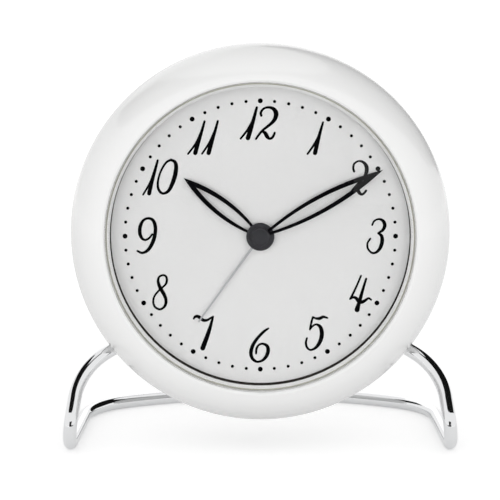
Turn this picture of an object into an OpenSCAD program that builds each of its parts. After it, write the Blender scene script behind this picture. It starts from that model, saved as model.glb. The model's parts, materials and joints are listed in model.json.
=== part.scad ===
// Table alarm clock: a round two-shell housing with a domed glass, held between the two ends of
// one bent steel rod. Millimetres, +Z up, dial towards -Y, origin on the table under the middle.

/* [Housing] */
// Outer diameter of the round housing
head_d = 111.7; // [109:0.1:114]
// Depth of the housing from its front rim to its flat back
head_depth = 39.2; // [38:0.1:41]
// Radius of the rounded front rim
rim_r = 15.75; // [15:0.25:16.5]
// Radius of the arc that draws the bowl in towards the back
bowl_r = 25.5; // [25:0.5:27]
// Radius of the rounded edge of the flat back
back_edge_r = 4; // [3:0.5:5]
// Wall thickness of both shells
wall = 2.2; // [2:0.1:2.4]
// Lean of the dial back from upright, degrees
head_tilt = 3; // [0:0.5:6]
// Height of the dial's centre above the table
head_z = 64.5; // [63:0.5:68]
// Distance from the dial's face to the plane of the front rim
rim_front = 5.8; // [5.6:0.1:6.4]

/* [Glass and dial] */
// Width of the rounded bezel from its outer edge to the glass
bezel_w = 10.85; // [10.5:0.05:11.2]
// How far the lip under the glass slopes in over the dial
wall_in = 1.4; // [1.1:0.05:1.7]
// Dark gap between that lip and the dial's face
dial_gap = 3.4; // [3:0.1:3.6]
// Thickness of the glass
lens_t = 1.3; // [1.1:0.1:1.6]
// Rise of the domed glass at its middle
lens_rise = 1.6; // [1.2:0.1:2]
// Thickness of the sheet metal dial
dial_t = 0.6; // [0.4:0.1:0.7]

/* [Hands] */
// Gap between the minute hand's tip and the lip
minute_clear = 3.1; // [2.3:0.1:5.3]
// Greatest width of the minute hand
minute_w = 5; // [4:0.1:5.6]
// Gap between the hour hand's tip and the lip
hour_clear = 15.6; // [13.6:0.5:17.6]
// Greatest width of the hour hand
hour_w = 4.9; // [4:0.1:5.6]
// Width of the two arms of each open hand
arm_w = 1; // [0.8:0.1:1.3]
// Gap between the alarm hand's tip and the lip
alarm_clear = 12.6; // [9.6:0.5:15.6]
// Width of the alarm hand
alarm_w = 0.75; // [0.6:0.05:1]
// Thickness of every hand
hand_t = 0.3; // [0.2:0.05:0.35]
// Minute hand at rest, degrees clockwise from twelve
minute_at = 61.1; // [0:0.1:360]
// Hour hand at rest, degrees clockwise from twelve
hour_at = 307.7; // [0:0.1:360]
// Alarm hand at rest, degrees clockwise from twelve
alarm_at = 215.7; // [0:0.1:360]

/* [Stand] */
// Diameter of the stand's rod
rod_d = 4; // [3.6:0.1:4.4]
// Radius of the tight bend at each foot, on the rod's centreline
foot_bend_r = 6; // [5.5:0.5:7]
// Slope of the arch's plane back from upright, degrees
arch_back = 37; // [34:1:40]
// Lean of the arch's straight inwards, degrees
arch_lean = 6.5; // [5:0.5:8]
// Radius of the arch where it turns in to the housing
arch_r = 21; // [19:0.5:23]
// Angle from upright at which the arch runs into the housing
arch_end_angle = 57; // [54:1:60]
// Radius of the two rear corners of the floor loop
corner_r = 20.5; // [18:0.5:24]
// Radius of the bowed back of the floor loop
bow_r = 95; // [85:1:110]
// From the dial's face back to the middle of the floor loop's back
stand_back = 58.9; // [56:0.5:62]
// Lean of the floor straights, degrees
floor_lean = 3; // [2:0.5:4]

/* [Movement] */
// Width of the movement's case
move_w = 52; // [51.2:0.4:52.8]
// Depth of the movement's case
move_depth = 12.1; // [11.8:0.1:12.4]
// Diameter of the setting knobs
knob_d = 15; // [13:0.5:16]
// How far the knobs stand out behind the housing
knob_out = 4.2; // [3.6:0.2:5]

/* [Battery] */
// Clear space between the battery's bay and the movement
bay_clear = 1; // [0.8:0.1:1.6]
// Length of the battery with its button
cell_len = 50.5; // [50:0.1:51]

/* [Hidden] */
$fn = 64;

// Smooth resolution of the large turned forms
fine_fn = 180;
// Overrun that lets a cut pass clean through a face
cut = 1;
// Gap between pieces that slip together by hand
fit = 0.1;
// Radial clearance of a shaft that turns in its bearing
run = 0.05;
// Axial gap between pieces that turn past each other
gap = 0.3;
// Wall, floor and rib thickness of small mouldings
thin = 1.2;

// Housing profile, as radius and height over the dial's face
out_r = head_d / 2;
// Rounded lip where the rim turns in to the glass
lip_r = 0.7;
window_r = out_r - bezel_w;
lip_c = [window_r + lip_r, rim_front - lip_r];
rim_x = out_r - rim_r;
rim_c = [rim_x, lip_c[1] - sqrt(pow(rim_r - lip_r, 2) - pow(lip_c[0] - rim_x, 2))];
back_z = rim_front - head_depth;
inner_back_z = back_z + wall;
edge_z = back_z + back_edge_r;
// The bowl starts at the widest place, or lower where its arc is short for the depth
bowl_reach_share = 0.91;
bowl_c = [out_r - bowl_r, min(rim_c[1], edge_z + bowl_reach_share * (bowl_r - back_edge_r))];
edge_c = [bowl_c[0] + sqrt(pow(bowl_r - back_edge_r, 2) - pow(bowl_c[1] - edge_z, 2)), edge_z];
// The inside is laid out for a flat back of this radius and follows it
layout_r = 39.3;
back_r = round(10 * edge_c[0]) / 10;
inside = back_r / layout_r;
// Places and sizes of that layout, each of which is set out again below for the back as it is
case_screw_out = 37;
gear_module = 0.4;
case_down = 20;
case_up = 26;
board_w = 38;
board_up = 10;
board_end = 24;
board_post_out = 14;
board_post_up = 20.5;
chip_out = -6;
crystal_out = 8;
coil_len = 18;
yoke_w = 28;
control_row = 24;
control_out = 20;
thumb_size = 4.6;
switch_stroke = 3;
control_w = 52;
// The two shells part just behind the widest place
split_drop = 0.4;
split_z = rim_c[1] - split_drop;
tongue_t = 1;
tongue_up = 1.3;
tongue_down = 4;

// Glass and seal, let in a little below the rim's front, and the lip below them
seal_t = 0.2;
seal_w = 0.4;
lens_down = 0.15;
ledge_z = rim_front - lens_down - lens_t - seal_t;
lens_r = window_r - run;
lens_z = ledge_z + seal_t;
sphere_r = (lens_r * lens_r + lens_rise * lens_rise) / (2 * lens_rise);
sight_r = window_r - wall_in;
minute_len = sight_r - minute_clear;
hour_len = sight_r - hour_clear;
alarm_len = sight_r - alarm_clear;
// Upright edge of that lip
lip_land = 0.3;
dial_r = sight_r - fit;
// The dark chamber round the dial is wider than the opening over it
chamber_out = 2.3;
chamber_r = sight_r + chamber_out;
chamber_wall = 1.7;
carrier_r = chamber_r + chamber_wall;
carrier_t = 1.5;
carrier_z = -dial_t - carrier_t;

// Three screws hold the dial carrier up against the chamber's wall
carrier_screw_out = 2;
carrier_screw_x = carrier_r + carrier_screw_out;
carrier_boss_r = 2.1;
carrier_boss_up = 1.2;
carrier_screw_angles = [90, 210, 330];
small_hole_r = 1.15;
small_screw_r = 1;
small_pilot_r = 1;
small_head_r = 1.9;
small_head_t = 1;
small_screw_len = 3;

// Four long screws pull the rear shell on to posts of the dial carrier
case_screw_x = case_screw_out * inside;
case_screw_angles = [28, 152, 240, 300];
case_post_r = 2.8;
case_post_z = -14;
case_pilot_r = 1.25;
case_screw_r = 1.25;
case_screw_bite = 5;
case_hole_r = 1.6;
case_head_r = 2.4;
case_head_t = 1.6;
case_tube_r = 3.8;
case_sink_r = case_head_r + 2 * fit;
case_seat_t = 2;
case_screw_z = back_z + case_seat_t + case_head_t;

// Hands, stacked over the dial's face
alarm_hand_z = 0.7;
hour_hand_z = 1.3;
minute_hand_z = 2.05;
alarm_boss_r = 3.4;
hour_boss_r = 4.1;
hour_boss_t = 0.65;
minute_boss_r = 2.8;
minute_boss_t = 0.95;
boss_drop = 0.05;
alarm_boss_drop = 0.4;
cap_t = 0.3;
minute_cap_z = minute_hand_z - boss_drop + minute_boss_t - cap_t;
alarm_low = alarm_hand_z - alarm_boss_drop;
alarm_high = alarm_hand_z + hand_t;
hour_high = hour_hand_z - boss_drop + hour_boss_t;
hour_root_share = -0.03;
hour_open_shares = [0.035, 0.84];
minute_root_share = -0.012;
minute_open_shares = [0.07, 0.845];
alarm_tip_share = 0.6;

// Nested shafts: minute arbor inside the hour pipe inside the alarm pipe inside the bush
minute_arbor_r = 1.4;
pipe_t = 0.5;
hour_pipe_r = minute_arbor_r + run + pipe_t;
alarm_pipe_r = hour_pipe_r + run + pipe_t;
bush_in_r = alarm_pipe_r + run;
bush_wall = 0.85;
bush_r = bush_in_r + bush_wall;
bush_low = 0.1;

// Gear teeth: heights in modules, half widths in shares of the pitch
tooth_up = 0.8;
tooth_down = 1.05;
tooth_half_shares = [0.26, 0.2, 0.11];

// Gear train: tooth counts and modules
gear_m = gear_module * inside;
minute_teeth = 12;
motion_teeth = 36;
motion_pinion_teeth = 10;
hour_teeth = 40;
time_teeth = 16;
alarm_teeth = 40;
idler_teeth = 24;
alarm_set_teeth = 12;
motion_x = gear_m * (minute_teeth + motion_teeth) / 2;
hour_m = 2 * motion_x / (motion_pinion_teeth + hour_teeth);
time_x = motion_x + gear_m * (motion_teeth + time_teeth) / 2;
idler_x = -gear_m * (alarm_teeth + idler_teeth) / 2;
alarm_set_x = idler_x - gear_m * (idler_teeth + alarm_set_teeth) / 2;

// Layers of the movement, each the lower face of its wheels
wheel_t = 1;
base_z = carrier_z;
base_wall = 1;
base_in_z = base_z - base_wall;
alarm_z = base_in_z - gap - wheel_t;
hour_z = alarm_z - gap - wheel_t;
motion_z = hour_z - 2 * gap - wheel_t;
cover_z = base_z - move_depth;
cover_in_z = cover_z + thin;
pivot_r = 0.8;
motion_post_r = 0.6;
idler_post_r = 0.8;
post_bite = 1;
set_arbor_r = 1;
set_shaft_r = 1.5;
move_half_w = move_w / 2 * inside;
case_low = case_down * inside;
case_high = case_up * inside;
move_screw_in = 3.2;
move_post_r = 2.1;
chamfer = 1.5;

// Snap hooks of the dial carrier grip the movement's sides
hook_w = 7;
hook_t = 1.2;
hook_len = 4.6;
nib_t = 0.5;
nib_h = 1;
nib_up = 0.3;
notch_d = 0.7;

// Circuit board, chip, crystal and motor inside the movement
board_t = 0.8;
board_half_w = board_w / 2 * inside;
board_low = board_up * inside;
board_high = board_end * inside;
board_post_x = board_post_out * inside;
board_post_y = board_post_up * inside;
board_post_r = 1.5;
board_z = -9.8;
chip_r = 3.4;
chip_top_r = 2.4;
chip_t = 0.9;
chip_x = chip_out * inside;
crystal_r = 1;
crystal_len = 6;
crystal_x = crystal_out * inside;
coil_z = -8.4;
coil_half = coil_len / 2 * inside;
coil_r = 2.8;
flange_r = 3.2;
flange_t = 0.8;
core_w = 2.4;
core_t = 1.2;
yoke_half_w = yoke_w / 2 * inside;
yoke_h = 7;
coil_room = 0.7;
coil_y = yoke_h / 2 + coil_room + thin - case_low;
yoke_t = 0.8;
rotor_hole_r = 2;
rotor_x = 5;

// Dial feet that locate the dial in its carrier
foot_angle = 30;
foot_r = 0.6;
foot_len = 1.3;

// Back of the housing: knobs, battery bay and its door
knob_r = knob_d / 2 * inside;
knob_recess = 1;
knob_margin = 1;
knob_grooves = 30;
groove_r = 0.45;
knob_gap = 0.4;
shaft_bite = 0.9;
knob_high = back_z + knob_recess - knob_gap;
knob_low = back_z - knob_out;
shaft_room = 0.4;
shaft_hole_r = set_shaft_r + shaft_room;
door_t = 1.6;
door_step = 1.7;
door_lip = 1.5;
door_above = 2;
cell_room = 0.35;
door_top = -(knob_r + knob_margin + door_above);
bay_top = door_top - door_lip;
// The battery takes the room under the movement, and between the knobs and the lower screws
tube_gap = 1.04;
deep_room = cover_z - bay_clear - thin - back_z - door_step - fit;
low_room = bay_top - case_screw_x * sin(case_screw_angles[3]) - case_tube_r - tube_gap;
bay_r = min(deep_room, low_room) / 2;
cell_r = bay_r - cell_room;
battery_len = cell_len * inside;
cell_y = bay_top - bay_r;
door_low = cell_y - bay_r - door_lip;
cell_z = back_z + door_step + fit + cell_room + cell_r;
spring_len = 4.6;
plate_t = 0.4;
bay_half = (battery_len + spring_len + 2 * plate_t) / 2;
door_half = bay_half + door_lip;
nub_r = 2.75;
nub_len = 1.5;
lug_x = 10;
lug_w = 6;
lug_out = 0.9;
lug_t = 0.8;
lug_z = 0.6;
lug_room = 0.1;
grip_ribs = 4;
grip_pitch = 1.4;
grip_w = 12;
grip_t = 0.6;
grip_up = 0.4;
thumb_r = 6;
thumb_deep = 0.9;
contact_share = 0.6;
contact_w = 2 * bay_r * contact_share;
wire_r = 0.4;
spring_wide_share = 0.4;
spring_narrow_share = 0.26;
spring_wide = contact_w * spring_wide_share;
spring_narrow = contact_w * spring_narrow_share;
spring_turns = 3.5;
spring_steps = 12;
wire_sides = 6;

// Alarm switch, snooze button, buzzer and the small board that carries them
control_y = control_row * inside;
control_x = control_out * inside;
slot_h = 3.4;
thumb_len = thumb_size * inside;
thumb_out = 1.3;
switch_travel = switch_stroke * inside;
slide_t = 1.2;
rail_t = 1.2;
rail_up = 2.2;
slide_margin = 1;
slider_len = thumb_len + 2 * switch_travel + slide_margin;
slider_h = slot_h + 2 * slide_margin;
button_r = 3.2;
button_out = 1.4;
button_travel = 0.9;
button_flange = 1;
button_room = 0.1;
sleeve_up = 2.4;
control_up = 5.9;
control_z = back_z + control_up;
control_t = 1;
control_half_w = control_w / 2 * inside;
control_half_h = 5;
control_post_r = 1.3;
slide_gap = 0.5;
stake_r = 0.7;
stake_up = 0.3;
switch_body_w = 9;
switch_body_h = 4.6;
contact_body = 5;
contact_body_t = 1;
plunger_r = 1.2;
plunger_t = control_z - contact_body_t - inner_back_z - 2 * fit - thin - button_travel;
buzzer_seat = fit + thin;
buzzer_r = control_x - slider_len / 2 - switch_travel / 2 - slide_gap - 2 * control_post_r - gap
    - buzzer_seat;
control_post_x = buzzer_r + buzzer_seat + gap + control_post_r;
buzzer_t = 2.8;
buzzer_port_r = 1.5;
buzzer_port_t = 0.8;
seat_up = 1.6;
sound_r = 0.7;
sound_ring = 3.4;
sound_holes = 6;

// Stand: the right half of the rod, mirrored for the left, from the dial's face backwards
rod_r = rod_d / 2;
// The rod's underside carries a narrow flat where it rests
rest_flat = 0.1;
rod_z = rod_r - rest_flat;
seam = 0.05;
collar_half = 0.15;
collar_up = 0.05;
arch_in = 0.95;
arch_y = 0.7;
arch_up = 6.85;
tail_len = 12;
socket_wall = 1.8;
socket_end = 1.4;
socket_start = 1.2;
set_screw_r = 1.25;
set_screw_len = 3;
arch_up_dir = [0, sin(arch_back), cos(arch_back)];
in_dir = [-1, 0, 0];
quarter = 90;
function heading(a) = cos(a) * arch_up_dir + sin(a) * in_dir;
function unit(v) = v / norm(v);
rise_dir = heading(arch_lean);
tail_dir = heading(arch_end_angle);
arch_start = [out_r - arch_in, arch_y, head_z - out_r + arch_up];
arch_c = arch_start + arch_r * heading(arch_lean + quarter);
arch_stop = arch_c - arch_r * heading(arch_end_angle + quarter);
tail_end = arch_stop + tail_len * tail_dir;
foot_v = arch_start - rise_dir * (arch_start[2] - rod_z) / rise_dir[2];
floor_dir = [sin(floor_lean), -cos(floor_lean), 0];
foot_turn = acos(floor_dir * rise_dir);
foot_run = foot_bend_r * tan(foot_turn / 2);
floor_stop = foot_v - foot_run * floor_dir;
rise_start = foot_v + foot_run * rise_dir;
foot_n = unit(rise_dir - (floor_dir * rise_dir) * floor_dir);
foot_c = floor_stop + foot_bend_r * foot_n;
foot_axis = cross(floor_dir, foot_n);
bow_c = [0, stand_back - bow_r, rod_z];
side_n = [-cos(floor_lean), -sin(floor_lean), 0];
corner_from = foot_v + corner_r * side_n - bow_c;
corner_along = -(corner_from * -floor_dir);
corner_run = corner_along + sqrt(corner_along * corner_along - corner_from * corner_from
    + pow(bow_r - corner_r, 2));
corner_c = bow_c + corner_from - corner_run * floor_dir;
bow_half = atan2(corner_c[0] - bow_c[0], corner_c[1] - bow_c[1]);
floor_start = corner_c - corner_r * side_n;
corner_turn = 90 - floor_lean - bow_half;

// The row's origin lies midway between the foremost point and the rod's back
stand_front = foot_c[1] - foot_bend_r * sqrt(1 - foot_axis[1] * foot_axis[1]) - rod_r;
head_front = -(lip_c[0] * sin(head_tilt) + lip_c[1] * cos(head_tilt) + lip_r);
head_y = -(min(head_front, stand_front) + stand_back + rod_r) / 2;

module at_table() {
    translate([0, head_y, 0]) children();
}

module at_head() {
    translate([0, head_y, head_z]) rotate([90 - head_tilt, 0, 0]) children();
}

module both_sides() {
    children();
    mirror([1, 0, 0]) children();
}

// Places a child by an origin and three axes
module framed(o, ex, ey, ez) {
    multmatrix([
        [ex[0], ey[0], ez[0], o[0]],
        [ex[1], ey[1], ez[1], o[1]],
        [ex[2], ey[2], ez[2], o[2]],
        [0, 0, 0, 1]
    ]) children();
}

// A straight cylinder between two points
module run_between(a, b, r) {
    dir = unit(b - a);
    side = unit(cross(dir, [dir[1], dir[2], dir[0]]));
    framed(a, side, cross(dir, side), dir) cylinder(r = r, h = norm(b - a));
}

// Part of a torus about c, from the direction of start towards the direction of travel
module bend(c, start, travel, r, turn) {
    framed(c, start, travel, cross(start, travel))
        rotate_extrude(angle = turn) translate([r, 0]) circle(rod_r);
}

// A disc or tube on the head's axis between two heights
module disc(r, low, high) {
    translate([0, 0, low]) cylinder(r = r, h = high - low);
}

module tube(r_out, r_in, low, high) {
    difference() {
        disc(r_out, low, high);
        disc(r_in, low - cut, high + cut);
    }
}

// A block centred on x and y between two heights
module block(w, h, low, high) {
    translate([-w / 2, -h / 2, low]) cube([w, h, high - low]);
}

module around(r, angles) {
    for (a = angles) rotate(a) translate([r, 0, 0]) children();
}

// Half profile of the bowl behind the widest place, drawn in by an inset
module bowl_2d(inset) {
    reach = bowl_r - inset;
    contact = bowl_c + reach * unit(edge_c - bowl_c);
    intersection() {
        translate(bowl_c) circle(reach, $fn = fine_fn);
        translate([0, contact[1]]) square([head_d, bowl_c[1] - contact[1]]);
    }
    translate(edge_c) circle(back_edge_r - inset);
    translate([0, back_z + inset]) square([edge_c[0], bowl_c[1] - back_z - inset]);
    if (rim_c[1] > bowl_c[1])
        translate([0, bowl_c[1]]) square([out_r - inset, rim_c[1] - bowl_c[1]]);
}

// Half profile of the rounded rim in front of the widest place
module rim_2d(inset) {
    intersection() {
        translate(rim_c) circle(rim_r - inset, $fn = fine_fn);
        translate([0, rim_c[1]]) square([head_d, rim_r]);
    }
    translate([0, rim_c[1]]) square([rim_c[0], rim_r - inset]);
}

// Half profile of the front shell's solid, with the lip rounded in to the glass
module front_solid_2d() {
    lip_contact = rim_c + rim_r * unit(lip_c - rim_c);
    difference() {
        union() {
            rim_2d(0);
            intersection() {
                bowl_2d(0);
                translate([0, split_z]) square([head_d, rim_c[1] - split_z]);
            }
        }
        translate([0, lip_c[1]]) square([lip_contact[0], head_depth]);
    }
    translate(lip_c) circle(lip_r);
}

module front_cavity_2d() {
    rim_2d(wall);
    translate([0, split_z - cut]) square([out_r - wall, rim_c[1] - split_z + cut]);
}

module front_case() {
    color("white") at_head() difference() {
        union() {
            rotate_extrude($fn = fine_fn) difference() {
                front_solid_2d();
                difference() {
                    front_cavity_2d();
                    translate([0, -dial_t]) square([carrier_r, head_depth]);
                }
                translate([0, split_z - cut]) square([carrier_r, -dial_t - split_z + cut]);
                translate([0, -head_depth]) square([chamber_r, head_depth + dial_gap]);
                polygon([
                    [0, 0], [sight_r, 0], [sight_r, dial_gap + lip_land],
                    [lens_r - seal_w, ledge_z], [window_r, ledge_z],
                    [window_r, head_depth], [0, head_depth]
                ]);
            }
            around(carrier_screw_x, carrier_screw_angles)
                disc(carrier_boss_r, -dial_t, carrier_boss_up);
        }
        around(carrier_screw_x, carrier_screw_angles) {
            disc(small_pilot_r, -dial_t - cut, carrier_boss_up);
            disc(carrier_boss_r + fit, carrier_z, -dial_t);
        }
    }
}

module glass() {
    color([0.85, 0.9, 0.92, 0.35]) at_head() rotate_extrude($fn = fine_fn) intersection() {
        difference() {
            translate([0, lens_z + lens_t + lens_rise - sphere_r]) circle(sphere_r, $fn = 4 * fine_fn);
            translate([0, lens_z + lens_rise - sphere_r]) circle(sphere_r, $fn = 4 * fine_fn);
        }
        translate([0, lens_z]) square([lens_r, head_depth]);
    }
}

module glass_seal() {
    color("darkkhaki") at_head()
        tube(lens_r, lens_r - seal_w, ledge_z, lens_z, $fn = fine_fn);
}

module dial() {
    color("gainsboro") at_head() {
        tube(dial_r, bush_r + fit, -dial_t, 0, $fn = fine_fn);
        around(foot_angle, [90, 270]) disc(foot_r, -dial_t - foot_len, -dial_t);
    }
}

module dial_carrier() {
    color("dimgray") at_head() difference() {
        union() {
            disc(carrier_r, carrier_z, -dial_t, $fn = fine_fn);
            around(carrier_screw_x, carrier_screw_angles)
                disc(carrier_boss_r, carrier_z, -dial_t);
            around(case_screw_x, case_screw_angles) disc(case_post_r, case_post_z, carrier_z);
            both_sides() translate([move_half_w + fit, 0, 0]) {
                translate([0, -hook_w / 2, carrier_z - hook_len]) cube([hook_t, hook_w, hook_len]);
                translate([-nib_t - fit, -hook_w / 2, carrier_z - hook_len])
                    cube([nib_t + 2 * fit, hook_w, nib_h]);
            }
        }
        disc(bush_r + fit, carrier_z - cut, cut);
        around(foot_angle, [90, 270]) disc(foot_r + run, carrier_z - cut, cut);
        around(carrier_screw_x, carrier_screw_angles) disc(small_hole_r, carrier_z - cut, cut);
        around(case_screw_x, case_screw_angles)
            disc(case_pilot_r, case_post_z - cut, carrier_z - gap);
    }
}

// A screw whose head bears on z = 0 and whose shank points forwards
module small_screw(len) {
    difference() {
        disc(small_head_r, -small_head_t, 0);
        block(2 * small_head_r + cut, small_pilot_r / 2, -small_head_t - cut, -small_head_t / 2);
    }
    disc(small_screw_r, 0, len);
}

module carrier_screws() {
    color("silver") at_head() around(carrier_screw_x, carrier_screw_angles)
        translate([0, 0, carrier_z]) small_screw(small_screw_len);
}

// A long screw through the rear shell into a post of the carrier
module case_screws() {
    color("silver") at_head() around(case_screw_x, case_screw_angles) {
        disc(case_screw_r, case_screw_z, case_post_z + case_screw_bite);
        difference() {
            disc(case_head_r, case_screw_z - case_head_t, case_screw_z);
            rotate(45) for (a = [0, 90]) rotate(a)
                block(2 * case_screw_r, case_pilot_r / 2, case_screw_z - case_head_t - cut,
                    case_screw_z - case_head_t / 2);
        }
    }
}

// A leaf between two points on the Y axis, drawn by two arcs
module leaf_2d(low, high, w) {
    half = (high - low) / 2;
    r = (half * half + w * w / 4) / w;
    translate([0, low + half]) intersection() {
        translate([r - w / 2, 0]) circle(r, $fn = fine_fn);
        translate([w / 2 - r, 0]) circle(r, $fn = fine_fn);
    }
}

// An open leaf hand pointing up, with its round boss
module open_hand(len, w, root, open, z, boss_r, boss_low, boss_high, bore_r) {
    difference() {
        union() {
            translate([0, 0, z]) linear_extrude(hand_t) difference() {
                leaf_2d(root * len, len, w);
                leaf_2d(open[0] * len, open[1] * len, w - 2 * arm_w);
            }
            disc(boss_r, boss_low, boss_high);
        }
        disc(bore_r, boss_low - cut, z + hand_t + cut);
    }
}

module hour_hand() {
    low = hour_hand_z - boss_drop;
    color("black") at_head() rotate(-hour_at)
        open_hand(hour_len, hour_w, hour_root_share, hour_open_shares, hour_hand_z,
            hour_boss_r, low, low + hour_boss_t, hour_pipe_r);
}

// The minute hand's boss is closed in front and covers the arbor's end
module minute_hand() {
    low = minute_hand_z - boss_drop;
    color("black") at_head() rotate(-minute_at) {
        open_hand(minute_len, minute_w, minute_root_share, minute_open_shares, minute_hand_z,
            minute_boss_r, low, minute_cap_z, minute_arbor_r);
        disc(minute_boss_r, minute_cap_z, low + minute_boss_t);
    }
}

module alarm_hand() {
    tip = alarm_w * alarm_tip_share / 2;
    color("silver") at_head() rotate(-alarm_at) difference() {
        union() {
            translate([0, 0, alarm_hand_z]) linear_extrude(hand_t) polygon([
                [-alarm_w / 2, 0], [alarm_w / 2, 0], [tip, alarm_len], [-tip, alarm_len]
            ]);
            disc(alarm_boss_r, alarm_low, alarm_high);
        }
        disc(alarm_pipe_r, alarm_low - cut, alarm_high + cut);
    }
}

// A spur gear with straight flanks, one tooth on the X axis
function tooth_r(n, m) = [n * m / 2 - tooth_down * m, n * m / 2, n * m / 2 + tooth_up * m];
module gear(n, m, low, high) {
    r = tooth_r(n, m);
    s = tooth_half_shares * 360 / n;
    translate([0, 0, low]) linear_extrude(high - low) polygon([
        for (i = [0 : n - 1], k = [0 : 5])
            let (j = k < 3 ? k : 5 - k, a = i * 360 / n + (k < 3 ? -s[j] : s[j]))
            r[j] * [cos(a), sin(a)]
    ]);
}

// Turn that puts a gap of a gear of n teeth opposite the tooth at angle a of its neighbour
function mesh_turn(n, a) = a + 180 + 180 / n;

module minute_pinion() {
    color("goldenrod") at_head() {
        gear(minute_teeth, gear_m, motion_z - gap, hour_z - gap);
        disc(minute_arbor_r, hour_z - gap, minute_cap_z);
        disc(pivot_r, cover_z + fit, motion_z - gap);
    }
}

module hour_wheel() {
    color("goldenrod") at_head() rotate(mesh_turn(hour_teeth, 180)) difference() {
        union() {
            gear(hour_teeth, hour_m, hour_z, hour_z + wheel_t);
            disc(hour_pipe_r, hour_z, hour_high);
        }
        disc(minute_arbor_r + run, hour_z - cut, hour_high + cut);
    }
}

module alarm_wheel() {
    color("goldenrod") at_head() difference() {
        union() {
            gear(alarm_teeth, gear_m, alarm_z, alarm_z + wheel_t);
            disc(alarm_pipe_r, alarm_z, alarm_high);
        }
        disc(hour_pipe_r + run, alarm_z - cut, alarm_high + cut);
    }
}

// Wheel and pinion that carry the minute arbor's turn to the hour wheel
module motion_wheel() {
    color("ivory") at_head() translate([motion_x, 0, 0]) difference() {
        union() {
            rotate(mesh_turn(motion_teeth, 0))
                gear(motion_teeth, gear_m, motion_z, motion_z + wheel_t);
            gear(motion_pinion_teeth, hour_m, motion_z, hour_z + wheel_t);
        }
        disc(motion_post_r + run, motion_z - cut, hour_z + wheel_t + cut);
    }
}

module alarm_idler() {
    color("ivory") at_head() translate([idler_x, 0, 0]) difference() {
        rotate(mesh_turn(idler_teeth, 180)) gear(idler_teeth, gear_m, alarm_z, alarm_z + wheel_t);
        disc(idler_post_r + run, alarm_z - cut, alarm_z + wheel_t + cut);
    }
}

// A setting arbor: pinion, pivot in the movement and the shaft that takes the knob
module set_arbor(n, z, turn) {
    rotate(turn) gear(n, gear_m, z, z + wheel_t);
    disc(set_arbor_r, cover_z - fit, base_z - fit);
    disc(set_shaft_r, knob_low + shaft_bite, cover_z - fit);
}

module time_set_pinion() {
    far_tooth = mesh_turn(motion_teeth, 0);
    phase = (far_tooth / 360 * motion_teeth) % 1;
    color("silver") at_head() translate([time_x, 0, 0])
        set_arbor(time_teeth, motion_z, mesh_turn(time_teeth, 0) - phase * 360 / time_teeth);
}

module alarm_set_pinion() {
    far_tooth = mesh_turn(idler_teeth, 180);
    phase = ((180 - far_tooth) / 360 * idler_teeth) % 1;
    color("silver") at_head() translate([alarm_set_x, 0, 0])
        set_arbor(alarm_set_teeth, alarm_z,
            mesh_turn(alarm_set_teeth, 180) + phase * 360 / alarm_set_teeth);
}

// A round knob with a grooved edge and a blind hole for its shaft
module knob() {
    difference() {
        union() {
            disc(knob_r, knob_low + chamfer / 2, knob_high);
            disc(knob_r - chamfer, knob_low, knob_high);
        }
        around(knob_r, [0 : 360 / knob_grooves : 359])
            disc(groove_r, knob_low - cut, knob_high + cut);
        disc(set_shaft_r, knob_low + shaft_bite, knob_high + cut);
        disc(knob_r - 2 * chamfer, knob_low - cut, knob_low + knob_gap);
    }
}

module time_set_knob() {
    color("whitesmoke") at_head() translate([time_x, 0, 0]) knob();
}

module alarm_set_knob() {
    color("whitesmoke") at_head() translate([alarm_set_x, 0, 0]) knob();
}

// Outline of the movement's case, drawn in by an inset
module case_2d(inset) {
    translate([inset - move_half_w, inset - case_low])
        square([2 * (move_half_w - inset), case_low + case_high - 2 * inset]);
}

module at_case_corners() {
    for (x = [-1, 1], y = [move_screw_in - case_low, case_high - move_screw_in])
        translate([x * (move_half_w - move_screw_in), y, 0]) children();
}

module movement_base() {
    color("slategray") at_head() difference() {
        union() {
            translate([0, 0, cover_in_z]) linear_extrude(base_z - cover_in_z) difference() {
                case_2d(0);
                case_2d(thin);
            }
            translate([0, 0, base_in_z]) linear_extrude(base_wall) case_2d(0);
            disc(bush_r, base_in_z, -bush_low);
            at_case_corners() disc(move_post_r, cover_in_z, base_in_z);
            both_sides() translate([board_post_x, board_post_y, 0])
                disc(board_post_r, board_z + board_t, base_in_z);
            translate([motion_x, 0, 0]) disc(motion_post_r, motion_z - gap - post_bite, base_in_z);
            translate([idler_x, 0, 0]) disc(idler_post_r, alarm_z - gap - post_bite, base_in_z);
        }
        disc(bush_in_r, base_in_z - cut, cut);
        at_case_corners() disc(small_pilot_r, cover_in_z - cut, base_in_z - gap);
        for (x = [time_x, alarm_set_x]) translate([x, 0, 0])
            disc(set_arbor_r + run, base_in_z - cut, base_z + cut);
        both_sides() translate([move_half_w - notch_d, -hook_w / 2 - fit, base_z - hook_len - nib_up])
            cube([notch_d + cut, hook_w + 2 * fit, nib_h + 2 * nib_up]);
    }
}

module movement_cover() {
    color("slategray") at_head() difference() {
        union() {
            translate([0, 0, cover_z]) linear_extrude(thin) case_2d(0);
            translate([motion_x, 0, 0]) disc(2 * motion_post_r + run, cover_z, motion_z - gap);
            translate([idler_x, 0, 0]) disc(2 * idler_post_r + run, cover_z, alarm_z - gap);
        }
        translate([motion_x, 0, 0])
            disc(motion_post_r + run, motion_z - gap - post_bite - fit, motion_z);
        translate([idler_x, 0, 0])
            disc(idler_post_r + run, alarm_z - gap - post_bite - fit, alarm_z);
        disc(pivot_r + run, cover_z - cut, cover_in_z + cut);
        for (x = [time_x, alarm_set_x]) translate([x, 0, 0])
            disc(set_arbor_r + run, cover_z - cut, cover_in_z + cut);
        at_case_corners() disc(small_hole_r, cover_z - cut, cover_in_z + cut);
    }
}

module movement_screws() {
    color("silver") at_head() at_case_corners()
        translate([0, 0, cover_z]) small_screw(2 * small_screw_len);
}

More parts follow.
